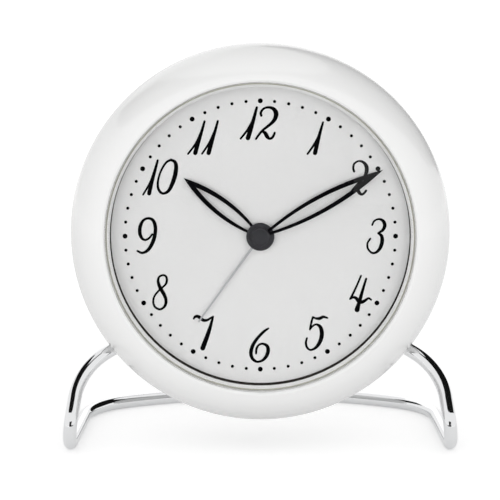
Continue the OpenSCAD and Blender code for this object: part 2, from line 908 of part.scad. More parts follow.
module circuit_board() {
    color("darkgreen") at_head() difference() {
        translate([-board_half_w, board_low, board_z])
            cube([2 * board_half_w, board_high - board_low, board_t]);
        both_sides() translate([board_post_x, board_post_y, 0])
            disc(small_pilot_r, board_z - cut, board_z + board_t + cut);
    }
}

// The chip's round drop of resin
module clock_chip() {
    color("black") at_head()
        translate([chip_x, (board_low + board_high) / 2, board_z - chip_t])
            cylinder(r1 = chip_top_r, r2 = chip_r, h = chip_t);
}

module quartz_crystal() {
    color("silver") at_head()
        translate([crystal_x, (board_low + board_high) / 2, board_z - crystal_r])
            rotate([0, 90, 0]) cylinder(r = crystal_r, h = crystal_len);
}

module motor_coil() {
    color("darkorange") at_head() translate([0, coil_y, coil_z]) rotate([0, 90, 0]) difference() {
        union() {
            disc(coil_r, -coil_half, coil_half);
            for (x = [-coil_half, coil_half - flange_t]) disc(flange_r, x, x + flange_t);
        }
        block(core_t + 2 * fit, core_w + 2 * fit, -coil_half - cut, coil_half + cut);
    }
}

// The steel core through the coil, its two legs and the plate round the rotor
module motor_stator() {
    yoke_low = cover_in_z;
    color("gray") at_head() translate([0, coil_y, 0]) difference() {
        union() {
            block(2 * yoke_half_w, core_w, coil_z - core_t / 2, coil_z + core_t / 2);
            both_sides() translate([yoke_half_w - core_w / 2, 0, 0])
                block(core_w, core_w, yoke_low, coil_z + core_t / 2);
            block(2 * yoke_half_w, yoke_h, yoke_low, yoke_low + yoke_t);
        }
        translate([rotor_x, 0, 0]) disc(rotor_hole_r, yoke_low - cut, yoke_low + yoke_t + cut);
    }
}

module battery() {
    color("dimgray") at_head() translate([plate_t + spring_len - bay_half, cell_y, cell_z])
        rotate([0, 90, 0]) {
            cylinder(r = cell_r, h = battery_len - nub_len);
            cylinder(r = nub_r, h = battery_len);
        }
}

module contact_plate() {
    color("silver") at_head() translate([bay_half - plate_t, cell_y, cell_z])
        translate([0, -contact_w / 2, -contact_w / 2]) cube([plate_t, contact_w, contact_w]);
}

// Cone-shaped spring: one wire swept along a helix that narrows towards the battery
function spring_at(t) = let (r = spring_wide + (spring_narrow - spring_wide) * t,
    a = 360 * spring_turns * t)
    [plate_t + wire_r / 2 + (spring_len - wire_r - wire_r / 2) * t, r * cos(a), r * sin(a)];
module contact_spring() {
    steps = spring_turns * spring_steps;
    rings = [for (i = [0 : steps]) let (t = i / steps, p = spring_at(t), a = 360 * spring_turns * t)
        for (k = [0 : wire_sides - 1]) let (b = 360 * k / wire_sides)
            p + wire_r * (cos(b) * [0, cos(a), sin(a)] + sin(b) * [1, 0, 0])];
    color("silver") at_head() translate([-bay_half, cell_y, cell_z]) {
        translate([0, -contact_w / 2, -contact_w / 2]) cube([plate_t, contact_w, contact_w]);
        polyhedron(rings, [
            for (i = [0 : steps - 1], k = [0 : wire_sides - 1])
                let (n = wire_sides, a = i * n + k, b = i * n + (k + 1) % n)
                each [[a, b, b + n], [a, b + n, a + n]],
            [for (k = [wire_sides - 1 : -1 : 0]) k],
            [for (k = [0 : wire_sides - 1]) steps * wire_sides + k]
        ]);
    }
}

// The door turns about its outer lower edge on two lugs
module battery_door() {
    h = door_top - door_low;
    color("white") at_head() {
        translate([-door_half + fit, door_low, back_z])
            cube([2 * (door_half - fit), h - fit, door_t]);
        both_sides() translate([lug_x - lug_w / 2, door_low - lug_out, back_z + lug_z])
            cube([lug_w, lug_out + fit, lug_t]);
        for (i = [0 : grip_ribs - 1])
            translate([-grip_w / 2, door_top - door_lip - i * grip_pitch - grip_t, back_z - grip_up])
                cube([grip_w, grip_t, grip_up]);
    }
}

module alarm_switch() {
    color("dimgray") at_head() translate([-control_x - switch_travel / 2, control_y, 0]) {
        block(thumb_len, slot_h - 2 * fit, back_z - thumb_out, inner_back_z + fit);
        block(slider_len, slider_h, inner_back_z + fit, inner_back_z + fit + slide_t);
    }
}

module snooze_button() {
    color("whitesmoke") at_head() translate([control_x, control_y, 0]) {
        disc(button_r, back_z - button_out, inner_back_z + fit);
        disc(button_r + button_flange, inner_back_z + fit, inner_back_z + fit + thin);
    }
}

// Small board behind the buttons, with the body of the slide switch
module control_board() {
    color("darkgreen") at_head() difference() {
        union() {
            translate([0, control_y, 0])
                block(2 * control_half_w, 2 * control_half_h, control_z, control_z + control_t);
            translate([-control_x, control_y, 0])
                block(switch_body_w, switch_body_h, inner_back_z + 2 * fit + slide_t, control_z);
        }
        both_sides() translate([control_post_x, control_y, 0])
            disc(stake_r + run, control_z - cut, control_z + control_t + cut);
    }
}

module snooze_contact() {
    color("silver") at_head() translate([control_x, control_y, 0]) {
        block(contact_body, contact_body, control_z - contact_body_t, control_z);
        disc(plunger_r, control_z - contact_body_t - plunger_t, control_z - contact_body_t);
    }
}

module buzzer() {
    color("black") at_head() translate([0, control_y, 0]) difference() {
        disc(buzzer_r, inner_back_z, inner_back_z + buzzer_t);
        disc(buzzer_port_r, inner_back_z - cut, inner_back_z + buzzer_port_t);
    }
}

// Tail of the rod seen from its own end: Z out of the socket, Y away from the dial
module at_tail() {
    side = unit(cross(tail_dir, [0, 1, 0]));
    at_table() framed(tail_end, side, cross(-tail_dir, side), -tail_dir) children();
}

// The screw enters from the shell's open front and bears on the rod
module set_screw() {
    translate([0, -rod_r, socket_start + 2 * set_screw_r]) rotate([90, 0, 0])
        cylinder(r = set_screw_r, h = set_screw_len);
}

// The part of a half profile that belongs to the rear shell
module behind_split() {
    intersection() {
        children();
        translate([0, back_z - cut]) square([head_d, split_z - back_z + cut]);
    }
}

module rear_case() {
    color("white") difference() {
        union() {
            at_head() {
                rotate_extrude($fn = fine_fn) behind_split() difference() {
                    bowl_2d(0);
                    bowl_2d(wall);
                }
                tube(out_r - wall / 2, out_r - wall - tongue_t, split_z - tongue_down, split_z,
                    $fn = fine_fn);
                tube(out_r - wall - run, out_r - wall - tongue_t, split_z - cut,
                    split_z + tongue_up, $fn = fine_fn);
                around(case_screw_x, case_screw_angles) disc(case_tube_r, back_z + back_edge_r / 2,
                    case_post_z);
                bay_block();
                for (x = [time_x, alarm_set_x]) translate([x, 0, 0])
                    disc(knob_r + knob_margin + thin, back_z + wall / 2, inner_back_z + knob_recess);
                translate([0, control_y, 0])
                    tube(buzzer_r + buzzer_seat, buzzer_r + fit, inner_back_z - run,
                        inner_back_z + seat_up);
                translate([control_x, control_y, 0]) button_sleeve();
                translate([-control_x, control_y, 0]) switch_rails();
                both_sides() translate([control_post_x, control_y, 0]) {
                    disc(control_post_r, inner_back_z - run, control_z);
                    disc(stake_r, control_z, control_z + control_t + stake_up);
                }
            }
            intersection() {
                both_sides() at_tail() disc(rod_r + run + socket_wall, -socket_end, tail_len);
                at_head() rotate_extrude($fn = fine_fn) behind_split() bowl_2d(wall / 2);
            }
        }
        both_sides() at_tail() {
            disc(rod_r + run, 0, 2 * tail_len);
            set_screw();
        }
        at_head() rear_cuts();
    }
}

// Walls of the battery's trough, standing on the flat back
module bay_block() {
    low = cell_y - bay_r - thin;
    translate([-bay_half - thin, low, back_z + wall / 2])
        cube([2 * (bay_half + thin), bay_top + thin - low, cell_z + bay_r + thin - back_z - wall / 2]);
}

module button_sleeve() {
    r = button_r + button_flange + button_room;
    tube(r + thin, r, inner_back_z - run, inner_back_z + sleeve_up);
}

module switch_rails() {
    for (side = [-1, 1])
        translate([0, side * (slider_h / 2 + fit + rail_t / 2), 0])
            block(slider_len + switch_travel, rail_t, inner_back_z - run, inner_back_z + rail_up);
}

module rear_cuts() {
    around(case_screw_x, case_screw_angles) {
        disc(case_hole_r, back_z - cut, case_post_z + cut);
        disc(case_sink_r, back_z - cut, case_screw_z);
    }
    translate([-bay_half, cell_y - bay_r, back_z - cut])
        cube([2 * bay_half, 2 * bay_r, cell_z - back_z + cut]);
    translate([-bay_half, cell_y, cell_z]) rotate([0, 90, 0]) cylinder(r = bay_r, h = 2 * bay_half);
    translate([-door_half, door_low - fit, back_z - cut])
        cube([2 * door_half, door_top - door_low + fit, door_step + cut]);
    both_sides()
        translate([lug_x - lug_w / 2 - fit, door_low - lug_out - 2 * fit, back_z + lug_z - lug_room])
            cube([lug_w + 2 * fit, lug_out + 3 * fit, door_step - lug_z + lug_room]);
    translate([0, door_top, 0]) disc(thumb_r, back_z - cut, back_z + thumb_deep);
    for (x = [time_x, alarm_set_x]) translate([x, 0, 0]) {
        disc(knob_r + knob_margin, back_z - cut, back_z + knob_recess);
        disc(shaft_hole_r, back_z - cut, inner_back_z + knob_recess + cut);
    }
    translate([control_x, control_y, 0]) disc(button_r + button_room, back_z - cut, inner_back_z + cut);
    translate([-control_x, control_y, 0])
        block(thumb_len + switch_travel + 2 * fit, slot_h, back_z - cut, inner_back_z + cut);
    translate([0, control_y, 0]) {
        disc(sound_r, back_z - cut, inner_back_z + cut);
        around(sound_ring, [0 : 360 / sound_holes : 359])
            disc(sound_r, back_z - cut, inner_back_z + cut);
    }
}

module stand() {
    half = bow_half - seam / bow_r * 180 / PI;
    color("silver") at_table() difference() {
        union() {
            bend(bow_c, [sin(half), cos(half), 0], [-cos(half), sin(half), 0], bow_r, 2 * half,
                $fn = fine_fn);
            both_sides() half_rod();
        }
        translate([-head_d, -head_d, -rod_d]) cube([2 * head_d, 2 * head_d, rod_d]);
    }
}

// Where two stretches of the rod meet, a collar a hair wider than the rod joins them
module collar(p, dir) {
    run_between(p - collar_half * dir, p + collar_half * dir, rod_r + collar_up);
}

module half_rod() {
    bend(corner_c, -side_n, -floor_dir, corner_r, corner_turn);
    collar(floor_start, floor_dir);
    run_between(floor_start + seam * floor_dir, floor_stop - seam * floor_dir, rod_r);
    collar(floor_stop, floor_dir);
    bend(foot_c, -foot_n, floor_dir, foot_bend_r, foot_turn);
    collar(rise_start, rise_dir);
    run_between(rise_start + seam * rise_dir, arch_start - seam * rise_dir, rod_r);
    collar(arch_start, rise_dir);
    bend(arch_c, unit(arch_start - arch_c), rise_dir, arch_r, arch_end_angle - arch_lean);
    collar(arch_stop, tail_dir);
    run_between(arch_stop + seam * tail_dir, tail_end, rod_r);
    collar(bow_c + bow_r * [sin(bow_half), cos(bow_half), 0], [cos(bow_half), -sin(bow_half), 0]);
}

module stand_screws() {
    color("gray") both_sides() at_tail() set_screw();
}

front_case();
rear_case();
glass();
glass_seal();
dial();
dial_carrier();
carrier_screws();
case_screws();
hour_hand();
minute_hand();
alarm_hand();
minute_pinion();
hour_wheel();
motion_wheel();
alarm_wheel();
alarm_idler();
time_set_pinion();
alarm_set_pinion();
time_set_knob();
alarm_set_knob();
movement_base();
movement_cover();
movement_screws();
circuit_board();
clock_chip();
quartz_crystal();
motor_coil();
motor_stator();
battery();
battery_door();
contact_plate();
contact_spring();
alarm_switch();
snooze_button();
control_board();
snooze_contact();
buzzer();
stand();
stand_screws();
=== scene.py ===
import bpy
import json
import math
from mathutils import Matrix, Vector


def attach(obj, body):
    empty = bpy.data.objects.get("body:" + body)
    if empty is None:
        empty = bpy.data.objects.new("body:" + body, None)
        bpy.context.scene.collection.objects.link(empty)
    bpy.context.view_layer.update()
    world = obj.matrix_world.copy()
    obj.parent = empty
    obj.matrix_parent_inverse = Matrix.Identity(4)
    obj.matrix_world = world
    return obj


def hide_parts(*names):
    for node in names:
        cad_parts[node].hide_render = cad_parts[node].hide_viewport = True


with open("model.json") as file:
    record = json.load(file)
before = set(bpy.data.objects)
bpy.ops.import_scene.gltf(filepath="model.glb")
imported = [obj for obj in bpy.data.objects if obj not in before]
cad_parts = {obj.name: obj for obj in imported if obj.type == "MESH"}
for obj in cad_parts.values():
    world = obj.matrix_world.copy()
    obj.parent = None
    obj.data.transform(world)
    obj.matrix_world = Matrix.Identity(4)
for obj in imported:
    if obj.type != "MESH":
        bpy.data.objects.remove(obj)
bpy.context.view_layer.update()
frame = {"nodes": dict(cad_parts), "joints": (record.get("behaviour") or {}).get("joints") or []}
nodes = frame["nodes"]
joints = {j["name"]: j for j in frame["joints"]}

MM = 0.001
# The head's own frame: millimetres on the dial, Z out of the dial's face
TILT = 3
HEAD_HEIGHT = 64.5
CENTRE = Vector(joints["minute_turn"]["pos_m"])
HEAD = (Matrix.Translation(CENTRE) @ Matrix.Rotation(math.radians(90 - TILT), 4, "X")
        @ Matrix.Scale(MM, 4))


# Finishes
COAT_ROUGH = 0.06
BUMP_DEPTH = 0.0001
# How much finer the bump's grain is than the colour's
FINER = 3


def material(name, color, rough, metal=0.0, coat=0.0, spec=0.5, scale=400.0, tint=0.03,
             rough_spread=0.05, bump=0.02, stretch=(1, 1, 1), **sockets):
    """A procedural finish: fine variation of colour and roughness, and a small bump."""
    m = bpy.data.materials.new(name)
    m.use_nodes = True
    t = m.node_tree
    b = t.nodes["Principled BSDF"]
    b.inputs["Metallic"].default_value = metal
    b.inputs["Specular IOR Level"].default_value = spec
    b.inputs["Coat Weight"].default_value = coat
    b.inputs["Coat Roughness"].default_value = COAT_ROUGH
    for key, value in sockets.items():
        b.inputs[key.replace("_", " ")].default_value = value
    at = t.nodes.new("ShaderNodeTexCoord")
    place = t.nodes.new("ShaderNodeMapping")
    place.inputs["Scale"].default_value = stretch
    t.links.new(at.outputs["Object"], place.inputs["Vector"])
    noise = t.nodes.new("ShaderNodeTexNoise")
    noise.inputs["Scale"].default_value = scale
    noise.inputs["Detail"].default_value = 4
    t.links.new(place.outputs["Vector"], noise.inputs["Vector"])
    ramp = t.nodes.new("ShaderNodeValToRGB")
    dark, light = ramp.color_ramp.elements
    dark.position, light.position = 0.3, 0.7
    dark.color = [c * (1 - tint) for c in color] + [1]
    light.color = [min(1, c * (1 + tint)) for c in color] + [1]
    t.links.new(noise.outputs["Fac"], ramp.inputs["Fac"])
    t.links.new(ramp.outputs["Color"], b.inputs["Base Color"])
    spread = t.nodes.new("ShaderNodeMapRange")
    spread.inputs["To Min"].default_value = max(0, rough - rough_spread)
    spread.inputs["To Max"].default_value = rough + rough_spread
    t.links.new(noise.outputs["Fac"], spread.inputs["Value"])
    t.links.new(spread.outputs["Result"], b.inputs["Roughness"])
    if bump:
        grain = t.nodes.new("ShaderNodeTexNoise")
        grain.inputs["Scale"].default_value = scale * FINER
        grain.inputs["Detail"].default_value = 2
        t.links.new(place.outputs["Vector"], grain.inputs["Vector"])
        relief = t.nodes.new("ShaderNodeBump")
        relief.inputs["Strength"].default_value = bump
        relief.inputs["Distance"].default_value = BUMP_DEPTH
        t.links.new(grain.outputs["Fac"], relief.inputs["Height"])
        t.links.new(relief.outputs["Normal"], b.inputs["Normal"])
    return m


# Housing, dial and hands
housing = material("housing_white", (0.81, 0.81, 0.806), 0.2, coat=0.35, scale=60, tint=0.004,
                   rough_spread=0.02, bump=0.004)
dial_paint = material("dial_paint", (0.9, 0.9, 0.897), 0.38, scale=900, tint=0.012,
                      rough_spread=0.03, bump=0.02)
print_black = material("print_black", (0.001, 0.001, 0.0012), 0.7, spec=0.0, scale=900, tint=0.1,
                       bump=0.01)
hand_black = material("hand_black", (0.001, 0.001, 0.002), 0.5, spec=0.03, scale=500, tint=0.1,
                      rough_spread=0.03, bump=0.01)
# The hubs' dark grey is painted sheen: it stands for the reflections that make the glossy black caps
# look lighter than the hands
hub_painted_sheen = material("hub_painted_sheen", (0.044, 0.044, 0.049), 0.4, spec=0.25, scale=300, tint=0.05,
                    rough_spread=0.03, bump=0.01)
hand_grey = material("hand_grey", (0.5, 0.505, 0.52), 0.45, scale=500, tint=0.02, bump=0.01)
seal_olive = material("seal_olive", (0.48, 0.475, 0.4), 0.5, scale=500, tint=0.04, bump=0.02)
carrier = material("carrier_brown", (0.03, 0.023, 0.019), 0.6, scale=300, tint=0.05, bump=0.05)
knob_white = material("knob_white", (0.78, 0.78, 0.775), 0.38, scale=400, tint=0.008, bump=0.03)
switch_grey = material("switch_grey", (0.09, 0.09, 0.095), 0.5, scale=400, tint=0.05, bump=0.08)
glass = material("clear_glass", (1.0, 1.0, 1.0), 0.002, scale=20, tint=0.002,
                 rough_spread=0.002, bump=0.0, spec=0.1, Transmission_Weight=1.0, IOR=1.45)

# Metals
chrome = material("chrome", (0.8, 0.805, 0.812), 0.045, metal=1.0, scale=120, tint=0.006,
                  rough_spread=0.012, bump=0.0)
steel = material("steel", (0.56, 0.56, 0.57), 0.3, metal=1.0, scale=500, tint=0.04, bump=0.02)
nickel = material("nickel", (0.66, 0.63, 0.57), 0.28, metal=1.0, scale=400, tint=0.04, bump=0.02)
brass = material("brass", (0.62, 0.45, 0.18), 0.28, metal=1.0, scale=400, tint=0.04, bump=0.02)
copper = material("copper_wire", (0.55, 0.19, 0.06), 0.32, metal=1.0, scale=90, tint=0.12,
                  bump=0.6, stretch=(40, 1, 1))
iron = material("iron_sheet", (0.3, 0.3, 0.31), 0.4, metal=1.0, scale=300, tint=0.05, bump=0.03)

# Movement, boards and battery
ivory = material("wheel_ivory", (0.68, 0.62, 0.46), 0.4, scale=300, tint=0.03, bump=0.03)
movement = material("movement_grey", (0.03, 0.032, 0.035), 0.5, scale=300, tint=0.05, bump=0.08)
board = material("board_green", (0.01, 0.09, 0.03), 0.35, scale=250, tint=0.12, bump=0.05)
resin = material("resin_black", (0.012, 0.012, 0.012), 0.3, scale=200, tint=0.1, bump=0.03)
cell = material("cell_jacket", (0.045, 0.047, 0.052), 0.3, scale=200, tint=0.05, coat=0.3,
                bump=0.01)

FINISH = {
    housing: ["front_case", "rear_case", "battery_door"],
    glass: ["glass"],
    seal_olive: ["glass_seal"],
    dial_paint: ["dial"],
    carrier: ["dial_carrier"],
    hand_black: ["hour_hand", "minute_hand"],
    hand_grey: ["alarm_hand"],
    brass: ["minute_pinion"],
    ivory: ["hour_wheel", "motion_wheel", "alarm_wheel", "alarm_idler"],
    steel: ["time_set_pinion", "alarm_set_pinion", "carrier_screws", "case_screws",
            "movement_screws", "stand_screws", "quartz_crystal"],
    knob_white: ["time_set_knob", "alarm_set_knob", "snooze_button"],
    movement: ["movement_base", "movement_cover"],
    board: ["circuit_board", "control_board"],
    resin: ["clock_chip", "buzzer"],
    copper: ["motor_coil"],
    iron: ["motor_stator"],
    cell: ["battery"],
    nickel: ["contact_plate", "contact_spring", "snooze_contact"],
    switch_grey: ["alarm_switch"],
    chrome: ["stand"],
}
for finish, names in FINISH.items():
    for name in names:
        mesh = nodes[name].data
        mesh.materials.clear()
        mesh.materials.append(finish)


# Pieces from points and profiles
def piece(name, verts, faces, finish, body, stands_for=(), smooth=35, place=HEAD):
    """A mesh piece riding on a body, from points in the head's frame unless place says otherwise."""
    mesh = bpy.data.meshes.new(name)
    mesh.from_pydata([place @ Vector(v) for v in verts], [], faces)
    mesh.validate()
    return dress(bpy.data.objects.new(name, mesh), finish, body, stands_for, smooth)


def dress(obj, finish, body, stands_for, smooth):
    """Gives an object its finish and body, and hides the CAD parts it stands for. Edges sharper than
    smooth, in degrees, stay sharp.
    """
    bpy.context.scene.collection.objects.link(obj)
    obj.data.materials.clear()
    obj.data.materials.append(finish)
    if smooth:
        obj.data.shade_smooth()
        obj.data.set_sharp_from_angle(angle=math.radians(smooth))
    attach(obj, body)
    if stands_for:
        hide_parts(*stands_for)
    return obj


def turned(profile, n=192, closed=True):
    """Verts and faces of a profile of (radius, height) turned about Z. Points on the axis are shared."""
    verts, rings = [], []
    circle = [(math.cos(2 * math.pi * i / n), math.sin(2 * math.pi * i / n)) for i in range(n)]
    for r, z in profile:
        if r < 1e-6:
            rings.append([len(verts)])
            verts.append((0, 0, z))
        else:
            rings.append(list(range(len(verts), len(verts) + n)))
            verts += [(r * x, r * y, z) for x, y in circle]
    faces = []
    for a, b in zip(rings, rings[1:] + (rings[:1] if closed else [])):
        if len(a) == 1 and len(b) == 1:
            continue
        for i in range(n):
            j = (i + 1) % n
            if len(a) == 1:
                faces.append((a[0], b[j], b[i]))
            elif len(b) == 1:
                faces.append((a[i], a[j], b[0]))
            else:
                faces.append((a[i], a[j], b[j], b[i]))
    return verts, faces


def arc(cx, cz, r, start, stop, n):
    """Points of an arc in a profile, degrees from the radius axis."""
    angles = [math.radians(start + (stop - start) * i / n) for i in range(n + 1)]
    return [(cx + r * math.cos(a), cz + r * math.sin(a)) for a in angles]


def smooth_path(points, steps):
    """Catmull-Rom curve through points of any dimension."""
    p = [points[0]] + list(points) + [points[-1]]
    out = []
    for a, b, c, d in zip(p, p[1:], p[2:], p[3:]):
        for k in range(steps):
            t = k / steps
            out.append(tuple(0.5 * (2 * q + (r - o) * t + (2 * o - 5 * q + 4 * r - s) * t * t
                                    + (3 * q - o - 3 * r + s) * t ** 3)
                             for o, q, r, s in zip(a, b, c, d)))
    return out + [tuple(points[-1])]


# Dial print
# Strokes of the numerals: x and y on the dial and the pen's width there, in millimetres
NUMERALS = {
    "12": [
        [(-1.02, 37.47, 0.47), (-1.85, 34.35, 0.73), (-2.75, 31.32, 1), (-3.59, 28.63, 1.07)],
        [(-2.19, 33.67, 0.4), (-3.72, 30.98, 0.4), (-5.69, 28.46, 0.33)],
        [(0.28, 35.12, 0.47), (0.14, 35.93, 0.43), (0.68, 36.87, 0.4), (1.61, 37.41, 0.4),
         (2.75, 37.47, 0.53), (3.88, 37, 0.83), (4.55, 35.86, 1.13), (4.31, 34.35, 0.93),
         (3.41, 33.1, 0.67), (2.01, 31.92, 0.53), (0.61, 30.81, 0.43), (-0.46, 29.53, 0.4),
         (-1.26, 28.36, 0.33)],
        [(-0.12, 29.97, 0.23), (0.61, 30.48, 0.4), (1.38, 30.07, 0.8), (1.94, 29.13, 0.87),
         (2.61, 28.46, 0.5), (3.41, 28.73, 0.47), (3.91, 29.47, 0.43), (4.15, 30.14, 0.4)],
    ],
    "11": [
        [(-16.13, 33.44, 0.4), (-16.97, 30.48, 0.6), (-17.97, 27.45, 0.93), (-18.84, 24.29, 1)],
        [(-17.3, 29.97, 0.4), (-18.64, 27.11, 0.37), (-20.94, 24.02, 0.3)],
        [(-12.3, 33.5, 0.4), (-13.13, 30.54, 0.6), (-14.1, 27.52, 0.93), (-14.97, 24.29, 1)],
        [(-13.47, 30.04, 0.4), (-14.8, 27.18, 0.37), (-16.87, 24.08, 0.3)],
    ],
    "1": [
        [(18.13, 33.17, 0.33), (17.36, 30.48, 0.6), (16.56, 27.45, 0.9), (15.86, 24.29, 1)],
        [(17.1, 29.64, 0.4), (15.69, 26.94, 0.4), (13.69, 24.02, 0.33)],
    ],
    "10": [
        [(-29.75, 22.13, 0.4), (-30.55, 19.21, 0.6), (-31.49, 16.01, 0.87), (-32.29, 12.51, 0.93)],
        [(-30.82, 18.36, 0.4), (-32.15, 15.34, 0.37), (-34.06, 12.14, 0.27)],
        [(-25.88, 22.3, 0.47), (-27.35, 21.46, 0.37), (-28.82, 19.04, 0.33), (-29.65, 16.35, 0.37),
         (-29.68, 14.16, 0.47), (-29.02, 12.91, 0.5), (-27.98, 12.51, 0.47), (-26.61, 13.32, 0.67),
         (-25.55, 15.34, 0.93), (-24.74, 17.76, 1.03), (-24.41, 20.11, 0.93), (-24.74, 21.63, 0.73),
         (-25.88, 22.3, 0.47)],
    ],
    "2": [
        [(27.21, 18.94, 0.4), (26.94, 19.98, 0.37), (27.31, 21.26, 0.33), (28.64, 21.96, 0.3),
         (30.04, 21.46, 0.57), (30.84, 20.11, 0.9), (30.68, 18.36, 0.8), (29.88, 16.85, 0.6),
         (28.54, 15.51, 0.43), (27.31, 14.16, 0.37), (26.44, 13.05, 0.33)],
        [(26.71, 13.52, 0.27), (27.44, 14.13, 0.4), (28.21, 13.65, 0.73), (28.77, 12.71, 0.73),
         (29.44, 12.24, 0.47), (30.14, 12.58, 0.4), (30.71, 13.32, 0.4)],
    ],
    "9": [
        [(-31.49, 0.53, 0.33), (-32.42, -0.61, 0.37), (-33.55, -1.11, 0.4), (-34.52, -0.54, 0.6),
         (-35.09, 0.94, 0.8), (-34.92, 2.96, 0.8), (-34.02, 4.64, 0.53), (-32.55, 5.24, 0.47),
         (-31.29, 4.71, 0.67), (-30.62, 3.16, 0.8), (-30.58, 1.14, 0.8), (-31.22, -1.48, 0.87),
         (-32.59, -3.91, 0.7), (-34.32, -4.92, 0.47), (-35.82, -4.34, 0.33)],
    ],
    "3": [
        [(32.58, 3.23, 0.27), (33.11, 4.4, 0.3), (34.45, 5.01, 0.33), (35.72, 4.47, 0.67),
         (36.22, 3.16, 0.8), (35.65, 1.78, 0.6), (34.31, 0.87, 0.3)],
        [(34.31, 0.87, 0.3), (35.32, 0.03, 0.73), (35.48, -1.65, 0.87), (34.92, -3.5, 0.73),
         (33.78, -4.75, 0.47), (32.51, -4.88, 0.37), (31.38, -3.67, 0.33), (31.24, -2.09, 0.3),
         (32.05, -0.74, 0.3)],
    ],
    "8": [
        [(-28.34, -11.44, 0.33), (-29.34, -11.83, 0.36), (-29.84, -12.73, 0.47),
         (-29.7, -14.13, 0.67), (-29.04, -15.62, 0.83), (-28.12, -17.21, 0.78),
         (-27.59, -18.84, 0.67), (-27.76, -20.24, 0.56), (-28.51, -21.22, 0.44),
         (-29.56, -21.59, 0.39), (-30.82, -20.86, 0.39), (-31.32, -19.4, 0.36),
         (-30.96, -17.72, 0.33), (-29.79, -16.18, 0.31), (-28.54, -15.06, 0.31),
         (-27.56, -14.02, 0.39), (-27.28, -12.81, 0.42), (-27.59, -11.8, 0.36),
         (-28.34, -11.44, 0.33)],
    ],
    "7": [
        [(-19.5, -24.36, 0.28), (-19.08, -23.8, 0.5), (-18.33, -23.66, 0.67), (-17.5, -24.22, 0.72),
         (-16.58, -24.84, 0.67), (-15.55, -24.78, 0.5), (-14.63, -24.22, 0.36),
         (-13.82, -23.78, 0.31)],
        [(-13.85, -23.78, 0.33), (-14.55, -26.41, 0.67), (-15.55, -29.49, 1),
         (-16.91, -33.14, 1.17)],
    ],
    "6": [
        [(2.35, -27.27, 0.3), (1.07, -28.17, 0.53), (-0.71, -30.02, 0.62), (-2.16, -32.2, 0.77),
         (-2.76, -34.45, 0.83), (-2.4, -36.06, 0.71), (-1.51, -36.96, 0.53), (-0.56, -37.2, 0.42),
         (0.8, -36.66, 0.53), (1.87, -35.35, 0.77), (2.32, -33.61, 0.83), (1.87, -32.35, 0.65),
         (0.62, -31.82, 0.42), (-0.53, -32.29, 0.36), (-1.13, -33.4, 0.42), (-1.24, -34.75, 0.3)],
    ],
    "5": [
        [(15.4, -23.92, 0.3), (16.35, -24.28, 0.44), (17.41, -24.28, 0.68), (18.48, -23.8, 0.53),
         (19.67, -24.16, 0.24)],
        [(15.4, -23.92, 0.36), (14.89, -25.78, 0.36), (14.54, -27.6, 0.3)],
        [(14.54, -27.6, 0.27), (15.31, -26.58, 0.3), (16.49, -26.07, 0.36), (17.62, -26.91, 0.8),
         (18.04, -28.77, 0.98), (17.65, -30.86, 0.92), (16.49, -32.77, 0.65), (14.86, -33.67, 0.36),
         (13.74, -32.95, 0.39), (13.38, -31.52, 0.42), (13.68, -30.14, 0.27)],
    ],
    "4": [
        [(29.4, -11.66, 0.3), (28.21, -14.56, 0.33), (26.97, -17.25, 0.39), (26.28, -18.51, 0.33)],
        [(26.28, -18.51, 0.33), (27.11, -18.06, 0.44), (27.91, -18.21, 0.65), (28.69, -19.08, 0.83),
         (29.58, -19.44, 0.83), (30.58, -19.02, 0.59), (31.62, -18.33, 0.39),
         (32.42, -18.75, 0.27)],
        [(30.91, -12.56, 0.39), (30.05, -15.46, 0.53), (29.31, -18.15, 0.77), (28.75, -20.09, 0.89),
         (28.33, -21.71, 1.25)],
    ],
}
INK = 0.02
# How far the ink runs past both sides of a stroke together
SPREAD = 0.28
# Each stroke lies a little over the last, up to this many steps, so that no faces coincide
LIFT, LIFTS = 0.001, 4
STROKE_STEPS = 7
# Points of a stroke's round end, between its two sides
CAP = 5


def pen_stroke(points, verts, faces, lift):
    """A closed thin solid with a round start and end."""
    path = [(x, y, w + SPREAD) for x, y, w in smooth_path(points, STROKE_STEPS)]
    n = len(path)
    left, right = [], []
    for i, (x, y, w) in enumerate(path):
        x0, y0, _ = path[max(i - 1, 0)]
        x1, y1, _ = path[min(i + 1, n - 1)]
        d = math.hypot(x1 - x0, y1 - y0)
        nx, ny = -(y1 - y0) / d * w / 2, (x1 - x0) / d * w / 2
        left.append((x + nx, y + ny))
        right.append((x - nx, y - ny))

    def cap(i, outward):
        x, y, w = path[i]
        side = math.atan2(left[i][1] - y, left[i][0] - x)
        angles = [side - outward * math.pi * k / (CAP + 1) for k in range(1, CAP + 1)]
        return [(x + w / 2 * math.cos(a), y + w / 2 * math.sin(a)) for a in angles]

    outline = left + right + cap(0, -1) + cap(n - 1, 1)
    base, m = len(verts), len(outline)
    verts += [(x, y, INK + lift) for x, y in outline] + [(x, y, INK / 4) for x, y in outline]
    start, stop = list(range(2 * n, 2 * n + CAP)), list(range(2 * n + CAP, m))
    flat = [(i, i + n, i + n + 1, i + 1) for i in range(n - 1)]
    flat.append([0] + start + [n])
    flat.append([2 * n - 1] + stop[::-1] + [n - 1])
    rim = list(range(n)) + stop + list(range(2 * n - 1, n - 1, -1)) + start[::-1]
    faces += [[base + v for v in f] for f in flat]
    faces += [[base + m + v for v in reversed(f)] for f in flat]
    faces += [(base + a, base + m + a, base + m + b, base + b) for a, b in zip(rim, rim[1:] + rim[:1])]


verts, faces = [], []
all_strokes = [points for strokes in NUMERALS.values() for points in strokes]
for i, points in enumerate(all_strokes):
    pen_stroke(points, verts, faces, LIFT * ((i + 1) % LIFTS))
piece("numerals", verts, faces, print_black, "case", smooth=0)

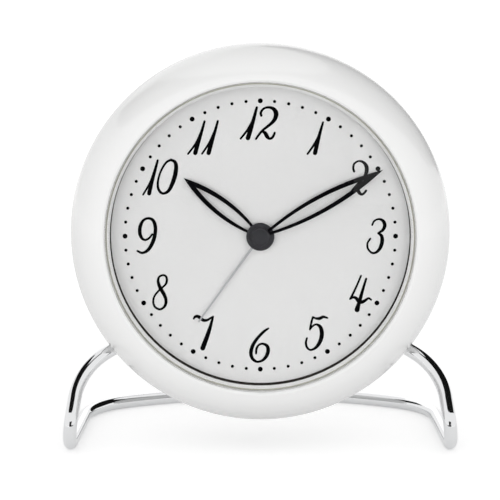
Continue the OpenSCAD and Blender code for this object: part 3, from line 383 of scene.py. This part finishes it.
DOT_RING, HOUR_DOT, MINUTE_DOT, DOT_SIDES = 39.4, 0.72, 0.465, 28
verts, faces = [], []
for i in range(60):
    a = math.radians(6 * i)
    r = HOUR_DOT if i % 5 == 0 else MINUTE_DOT
    cx, cy = DOT_RING * math.sin(a), DOT_RING * math.cos(a)
    k, base = DOT_SIDES, len(verts)
    turn = [2 * math.pi * j / k for j in range(k)]
    for z in (INK / 4, INK):
        verts += [(cx + r * math.cos(b), cy + r * math.sin(b), z) for b in turn]
    faces.append([base + k + j for j in range(k)])
    faces.append([base + j for j in range(k - 1, -1, -1)])
    for j in range(k):
        after = (j + 1) % k
        faces.append((base + j, base + after, base + k + after, base + k + j))
piece("minute_dots", verts, faces, print_black, "case", smooth=0)


# Hands
HAND_THICK, HAND_EDGE = 0.3, 0.06


def leaf(low, high, w, n=40):
    """Outline of a leaf between two heights on the Y axis."""
    half = (high - low) / 2
    r = (half * half + w * w / 4) / w
    side = []
    for i in range(n + 1):
        along = 2 * half * i / n
        side.append((math.sqrt(r * r - (along - half) ** 2) - (r - w / 2), low + along))
    return side + [(-x, y) for x, y in side[-2:0:-1]]


def plate(name, outlines, z):
    """A flat piece cut from outlines, with softened edges, as a mesh in the head's millimetres."""
    c = bpy.data.curves.new(name, "CURVE")
    c.dimensions = "2D"
    c.fill_mode = "BOTH"
    c.extrude = HAND_THICK / 2 - HAND_EDGE
    c.bevel_depth = HAND_EDGE
    c.bevel_resolution = 3
    c.offset = -HAND_EDGE
    for outline in outlines:
        s = c.splines.new("POLY")
        s.points.add(len(outline) - 1)
        for p, (x, y) in zip(s.points, outline):
            p.co = (x, y, 0, 1)
        s.use_cyclic_u = True
        s.use_smooth = False
    o = bpy.data.objects.new(name, c)
    bpy.context.scene.collection.objects.link(o)
    bpy.context.view_layer.update()
    made = o.evaluated_get(bpy.context.evaluated_depsgraph_get())
    mesh = bpy.data.meshes.new_from_object(made)
    bpy.data.objects.remove(o)
    mesh.transform(Matrix.Translation((0, 0, z + HAND_THICK / 2)))
    return mesh


def hand(name, length, w, arm, root, opening, z, hub_profile, at, body, cad):
    """An open leaf hand at an angle from 12, with its turned hub, in two finishes."""
    low, high = opening
    mesh = plate(name + "_plate", [leaf(root * length, length, w),
                                   leaf(low * length, high * length, w - 2 * arm)], z)
    mesh.transform(HEAD @ Matrix.Rotation(math.radians(-at), 4, "Z"))
    dress(bpy.data.objects.new(name, mesh), hand_black, body, (cad,), smooth=50)
    v, f = turned(hub_profile, 96)
    piece(name + "_hub", v, f, hub_painted_sheen, body, (cad,), smooth=50)


HOUR_HUB = [(1.96, 1.25), (3.95, 1.25)] + arc(3.8, 1.6, 0.3, -60, 90, 6) + [(1.96, 1.9)]
MINUTE_HUB = ([(0, 2.0), (2.8, 2.0)] + arc(2.55, 2.7, 0.25, 0, 90, 5)
              + arc(2.3, 2.84, 0.11, 90, 180, 3)[1:] + [(0, 2.84)])
hand("hour_leaf", 28, 5.2, 1.14, -0.03, (0.035, 0.84), 1.3, HOUR_HUB, 307.7, "hour", "hour_hand")
hand("minute_leaf", 40.5, 5.3, 1.14, -0.012, (0.07, 0.845), 2.05, MINUTE_HUB, 61.1, "minute",
     "minute_hand")


# Glass
LENS_R, LENS_Z, LENS_T, RISE, EDGE = 44.95, 4.35, 1.3, 1.6, 0.15
SPHERE = (LENS_R ** 2 + RISE ** 2) / (2 * RISE)
RINGS = 40
dome = []
for i in range(RINGS + 1):
    r = LENS_R * i / RINGS
    dome.append((r, LENS_Z + RISE - SPHERE + math.sqrt(SPHERE ** 2 - r ** 2)))
over = [(r, z + LENS_T) for r, z in dome]
brim = over[-1][1]
v, f = turned(over[:-1] + [(LENS_R - EDGE, brim), (LENS_R, brim - EDGE)] + dome[::-1], closed=False)
dome_piece = piece("glass_dome", v, f, glass, "case", ("glass",), smooth=50)
# Light passes the thin clear glass to the dial
dome_piece.visible_shadow = False


# Stand
ROD, ROD_SIDES = 2.0, 40


def stand_path():
    """The right half of the rod's centreline, from the middle of the bow to the end of the tail.

    In millimetres on the floor under the head. The rod leans out by lean and the arch turns to end,
    in degrees, in a plane that tips back. The loop on the floor opens forward by toe.
    """
    rod_z, back, lean, end, bend_r, arch_r = 1.9, math.radians(37), 6.5, 57, 6, 21
    toe = math.radians(3)
    bow_r, corner_r, stand_back = 95, 20.5, 58.9
    arch_start = Vector((54.9, 0.7, 15.5))
    up, inward = Vector((0, math.sin(back), math.cos(back))), Vector((-1, 0, 0))

    def heading(a):
        return math.cos(math.radians(a)) * up + math.sin(math.radians(a)) * inward
    rise, tail = heading(lean), heading(end)
    arch_c = arch_start + arch_r * heading(lean + 90)
    foot = arch_start - rise * (arch_start.z - rod_z) / rise.z
    along = Vector((math.sin(toe), -math.cos(toe), 0))
    turn = math.acos(along.dot(rise))
    stop = foot - bend_r * math.tan(turn / 2) * along
    normal = (rise - along.dot(rise) * along).normalized()
    foot_c = stop + bend_r * normal
    bow_c = Vector((0, stand_back - bow_r, rod_z))
    side = Vector((-math.cos(toe), -math.sin(toe), 0))
    start = foot + corner_r * side - bow_c
    k = start.dot(along)
    reach = k + math.sqrt(k * k - start.length_squared + (bow_r - corner_r) ** 2)
    corner_c = bow_c + start - reach * along
    half = math.atan2(corner_c.x - bow_c.x, corner_c.y - bow_c.y)

    def bearing(a):
        return Vector((math.sin(a), math.cos(a), 0))
    pts = [bow_c + bow_r * bearing(half * i / 24) for i in range(24)]
    corner_turn = math.pi / 2 - toe - half
    pts += [corner_c + corner_r * bearing(half + corner_turn * i / 24) for i in range(25)]
    pts += [pts[-1].lerp(stop, i / 6) for i in range(1, 6)]
    for i in range(37):
        a = turn * i / 36
        pts.append(foot_c - bend_r * math.cos(a) * normal + bend_r * math.sin(a) * along)
    pts += [pts[-1].lerp(arch_start, i / 5) for i in range(1, 5)]
    pts += [arch_c - arch_r * heading(lean + (end - lean) * i / 24 + 90) for i in range(25)]
    pts += [pts[-1] + tail * d for d in (3, 6, 9)]
    return pts


half = stand_path()
path = [Vector((-p.x, p.y, p.z)) for p in reversed(half[1:])] + half
shift = CENTRE / MM - Vector((0, 0, HEAD_HEIGHT))
verts, faces = [], []
side = Vector((0, 0, 1))
for i, p in enumerate(path):
    d = (path[min(i + 1, len(path) - 1)] - path[max(i - 1, 0)]).normalized()
    side = (side - side.dot(d) * d).normalized()
    other = d.cross(side)
    for j in range(ROD_SIDES):
        a = 2 * math.pi * j / ROD_SIDES
        q = p + ROD * (math.cos(a) * side + math.sin(a) * other) + shift
        # The rod rests on the floor with a small flat
        verts.append((q.x, q.y, max(q.z, 0)))
for i in range(len(path) - 1):
    here, there = i * ROD_SIDES, (i + 1) * ROD_SIDES
    for j in range(ROD_SIDES):
        k = (j + 1) % ROD_SIDES
        faces.append((here + j, here + k, there + k, there + j))
faces.append(list(range(ROD_SIDES - 1, -1, -1)))
faces.append([(len(path) - 1) * ROD_SIDES + j for j in range(ROD_SIDES)])
piece("rod", verts, faces, chrome, "case", ("stand",), smooth=40,
      place=Matrix.Scale(MM, 4))


# Floor and studio cards
def math_node(tree, operation, *values):
    """A Math node. Each value is a socket to link or a plain number."""
    node = tree.nodes.new("ShaderNodeMath")
    node.operation = operation
    for socket, value in zip(node.inputs, values):
        if isinstance(value, (int, float)):
            socket.default_value = value
        else:
            tree.links.new(value, socket)
    return node.outputs[0]


def floor_material():
    """White to the camera, through glass and, weaker, in chrome. Greyer in them near the object, where
    the fading glow paints shade round it.
    """
    m = bpy.data.materials.new("floor_white")
    m.use_nodes = True
    t = m.node_tree
    t.nodes.clear()
    out = t.nodes.new("ShaderNodeOutputMaterial")
    base = t.nodes.new("ShaderNodeBsdfDiffuse")
    base.inputs["Color"].default_value = (0.8, 0.8, 0.8, 1)
    glow = t.nodes.new("ShaderNodeEmission")
    seen = t.nodes.new("ShaderNodeLightPath").outputs
    at = t.nodes.new("ShaderNodeTexCoord")
    away = t.nodes.new("ShaderNodeVectorMath")
    away.operation = "LENGTH"
    t.links.new(at.outputs["Object"], away.inputs[0])
    # The glow fades from far to near: painted shade on the floor round the object
    reach = t.nodes.new("ShaderNodeMapRange")
    reach.inputs["From Min"].default_value = 0.25
    reach.inputs["From Max"].default_value = 1.2
    reach.inputs["To Min"].default_value = 0.42
    reach.inputs["To Max"].default_value = 1.0
    t.links.new(away.outputs["Value"], reach.inputs["Value"])
    mirrored = math_node(t, "MULTIPLY", seen["Is Glossy Ray"], 0.6)
    either = math_node(t, "MAXIMUM", seen["Is Camera Ray"], mirrored)
    through = math_node(t, "MAXIMUM", either, seen["Is Transmission Ray"])
    level = math_node(t, "MULTIPLY", through, reach.outputs["Result"])
    t.links.new(level, glow.inputs["Strength"])
    both = t.nodes.new("ShaderNodeAddShader")
    t.links.new(base.outputs[0], both.inputs[0])
    t.links.new(glow.outputs[0], both.inputs[1])
    t.links.new(both.outputs[0], out.inputs["Surface"])
    return m


def stage_mesh(name, verts, faces, mat):
    """The floor or a card, which isn't part of the object."""
    mesh = bpy.data.meshes.new(name)
    mesh.from_pydata(verts, [], faces)
    mesh.materials.append(mat)
    o = bpy.data.objects.new(name, mesh)
    bpy.context.scene.collection.objects.link(o)
    return o


FLOOR = 8
stage_mesh("floor", [(-FLOOR, -FLOOR, 0), (FLOOR, -FLOOR, 0), (FLOOR, FLOOR, 0), (-FLOOR, FLOOR, 0)],
           [(0, 1, 2, 3)], floor_material())


def card(name, level, pairs, in_glass=False):
    """A studio card of one even tone that only shows in reflections, as a strip through pairs of points.

    A card in_glass also shows in reflections from the glass's inner face.
    """
    m = bpy.data.materials.new(name)
    m.use_nodes = True
    b = m.node_tree.nodes["Principled BSDF"]
    b.inputs["Base Color"].default_value = (0.01, 0.01, 0.01, 1)
    b.inputs["Roughness"].default_value = 1.0
    b.inputs["Specular IOR Level"].default_value = 0.0
    b.inputs["Emission Color"].default_value = (1, 1, 1, 1)
    b.inputs["Emission Strength"].default_value = level
    verts = [point for pair in pairs for point in pair]
    faces = [(i, i + 1, i + 3, i + 2) for i in range(0, len(verts) - 2, 2)]
    o = stage_mesh(name, verts, faces, m)
    o.visible_camera = False
    o.visible_diffuse = False
    o.visible_shadow = False
    o.visible_transmission = in_glass


BAND_REACH, BAND_HEIGHT, BAND_STEPS = 1.3, 0.03, 6


def band(name, level, spans):
    """A card that stands round the stand, from azimuths with a low and a high edge, in degrees."""
    pairs = []
    for azimuth, low, high in smooth_path(spans, BAND_STEPS):
        a = math.radians(azimuth)
        out = Vector((math.sin(a), -math.cos(a), 0))
        pairs.append([BAND_REACH * (math.cos(math.radians(e)) * out
                                    + math.sin(math.radians(e)) * Vector((0, 0, 1)))
                      + Vector((0, 0, BAND_HEIGHT)) for e in (low, high)])
    card(name, level, pairs)


# The room over the camera is dark between the side walls and the light overhead
band("card_ring", 0.0, [
    (-132, 28, 44), (-110, 32, 57), (-86, 35, 62), (-66, 43, 64), (-42, 51, 63), (-15, 54, 62),
    (15, 55, 63), (45, 50, 66), (67, 42, 67), (88, 31, 66), (106, 18, 64), (128, 11, 60),
    (150, 4, 54), (165, 30, 50), (180, 34, 44)])
band("card_back", 1.3, [(-192, 0, 32), (-175, 10, 42), (-160, 20, 52), (-142, 25, 58)])

# The glass looks at the floor in front and at what stands behind it
DARK = 0.02
CARD_LIFT, CARD_FAR, CARD_WIDE, CARD_TOP = 0.003, -1.2, 0.4, 0.41
# Place in front of the object, and half the card's width there
LOW_CARD = ((-0.085, 0.02), (-0.13, 0.045), (-0.2, 0.08), (-0.35, 0.13), (-0.7, 0.24),
            (CARD_FAR, CARD_WIDE))
card("card_low", DARK, [((-w, y, CARD_LIFT), (w, y, CARD_LIFT)) for y, w in LOW_CARD], in_glass=True)
card("card_front", DARK, [((x, CARD_FAR, 0), (x, CARD_FAR, CARD_TOP))
                          for x in (-CARD_WIDE, CARD_WIDE)], in_glass=True)
# A soft glint on the minute hand's tip
card("card_glint", 0.6, [((x, -0.9, 0.05), (x, -0.9, 0.17)) for x in (0.14, 0.28)])


# Lights
AIM = Vector((0, -0.02, 0.06))


def lamp(name, place, size, watts, in_glass):
    """A soft lamp towards the object, not mirrored in the chrome, nor in the glass unless in_glass."""
    light = bpy.data.lights.new(name, "AREA")
    light.shape = "RECTANGLE"
    light.size, light.size_y = size
    light.energy = watts
    o = bpy.data.objects.new(name, light)
    place = Vector(place)
    turn = (AIM - place).to_track_quat("-Z", "Y").to_matrix().to_4x4()
    o.matrix_world = Matrix.Translation(place) @ turn
    o.visible_glossy = False
    o.visible_transmission = in_glass
    bpy.context.scene.collection.objects.link(o)


lamp("side_left", (-1.0, -0.7, 0.25), (0.8, 0.5), 1.5, in_glass=True)
lamp("side_right", (1.0, -0.7, 0.25), (0.8, 0.5), 1.2, in_glass=True)
lamp("front_low", (0, -0.9, 0.08), (1.2, 0.12), 2.9, in_glass=False)

# The world is white where it is seen, and a little dimmer as a light
world = bpy.data.worlds.new("studio")
bpy.context.scene.world = world
world.use_nodes = True
t = world.node_tree
t.nodes.clear()
out = t.nodes.new("ShaderNodeOutputWorld")
mix = t.nodes.new("ShaderNodeMixShader")
for i, level in ((1, 0.76), (2, 1.0)):
    sky = t.nodes.new("ShaderNodeBackground")
    sky.inputs["Color"].default_value = (1, 1, 1, 1)
    sky.inputs["Strength"].default_value = level
    t.links.new(sky.outputs[0], mix.inputs[i])
seen = t.nodes.new("ShaderNodeLightPath").outputs
direct = math_node(t, "MAXIMUM", seen["Is Camera Ray"], seen["Is Glossy Ray"])
t.links.new(math_node(t, "MAXIMUM", direct, seen["Is Transmission Ray"]), mix.inputs["Fac"])
t.links.new(mix.outputs[0], out.inputs["Surface"])


# Camera, at the photograph's angle
scene = bpy.context.scene
scene.view_settings.view_transform = "Standard"

DISTANCE, RAISE, LENS = 0.6, math.radians(10.3), 148.6
# How far under the hands' axis the camera looks
DIP = math.radians(0.377)
# The hands' axis in the photograph's 500 pixels
AXIS_PIXEL, FRAME_PIXELS = 260.3, 500
cam = bpy.data.cameras.new("camera")
cam.sensor_width = 36
cam.lens = LENS
cam.shift_x = -(AXIS_PIXEL - FRAME_PIXELS / 2) / FRAME_PIXELS
camera = bpy.data.objects.new("camera", cam)
camera.location = CENTRE + DISTANCE * Vector((0, -math.cos(RAISE), math.sin(RAISE)))
camera.rotation_euler = (math.pi / 2 - RAISE - DIP, 0, 0)
scene.collection.objects.link(camera)
scene.camera = camera

bpy.context.view_layer.update()
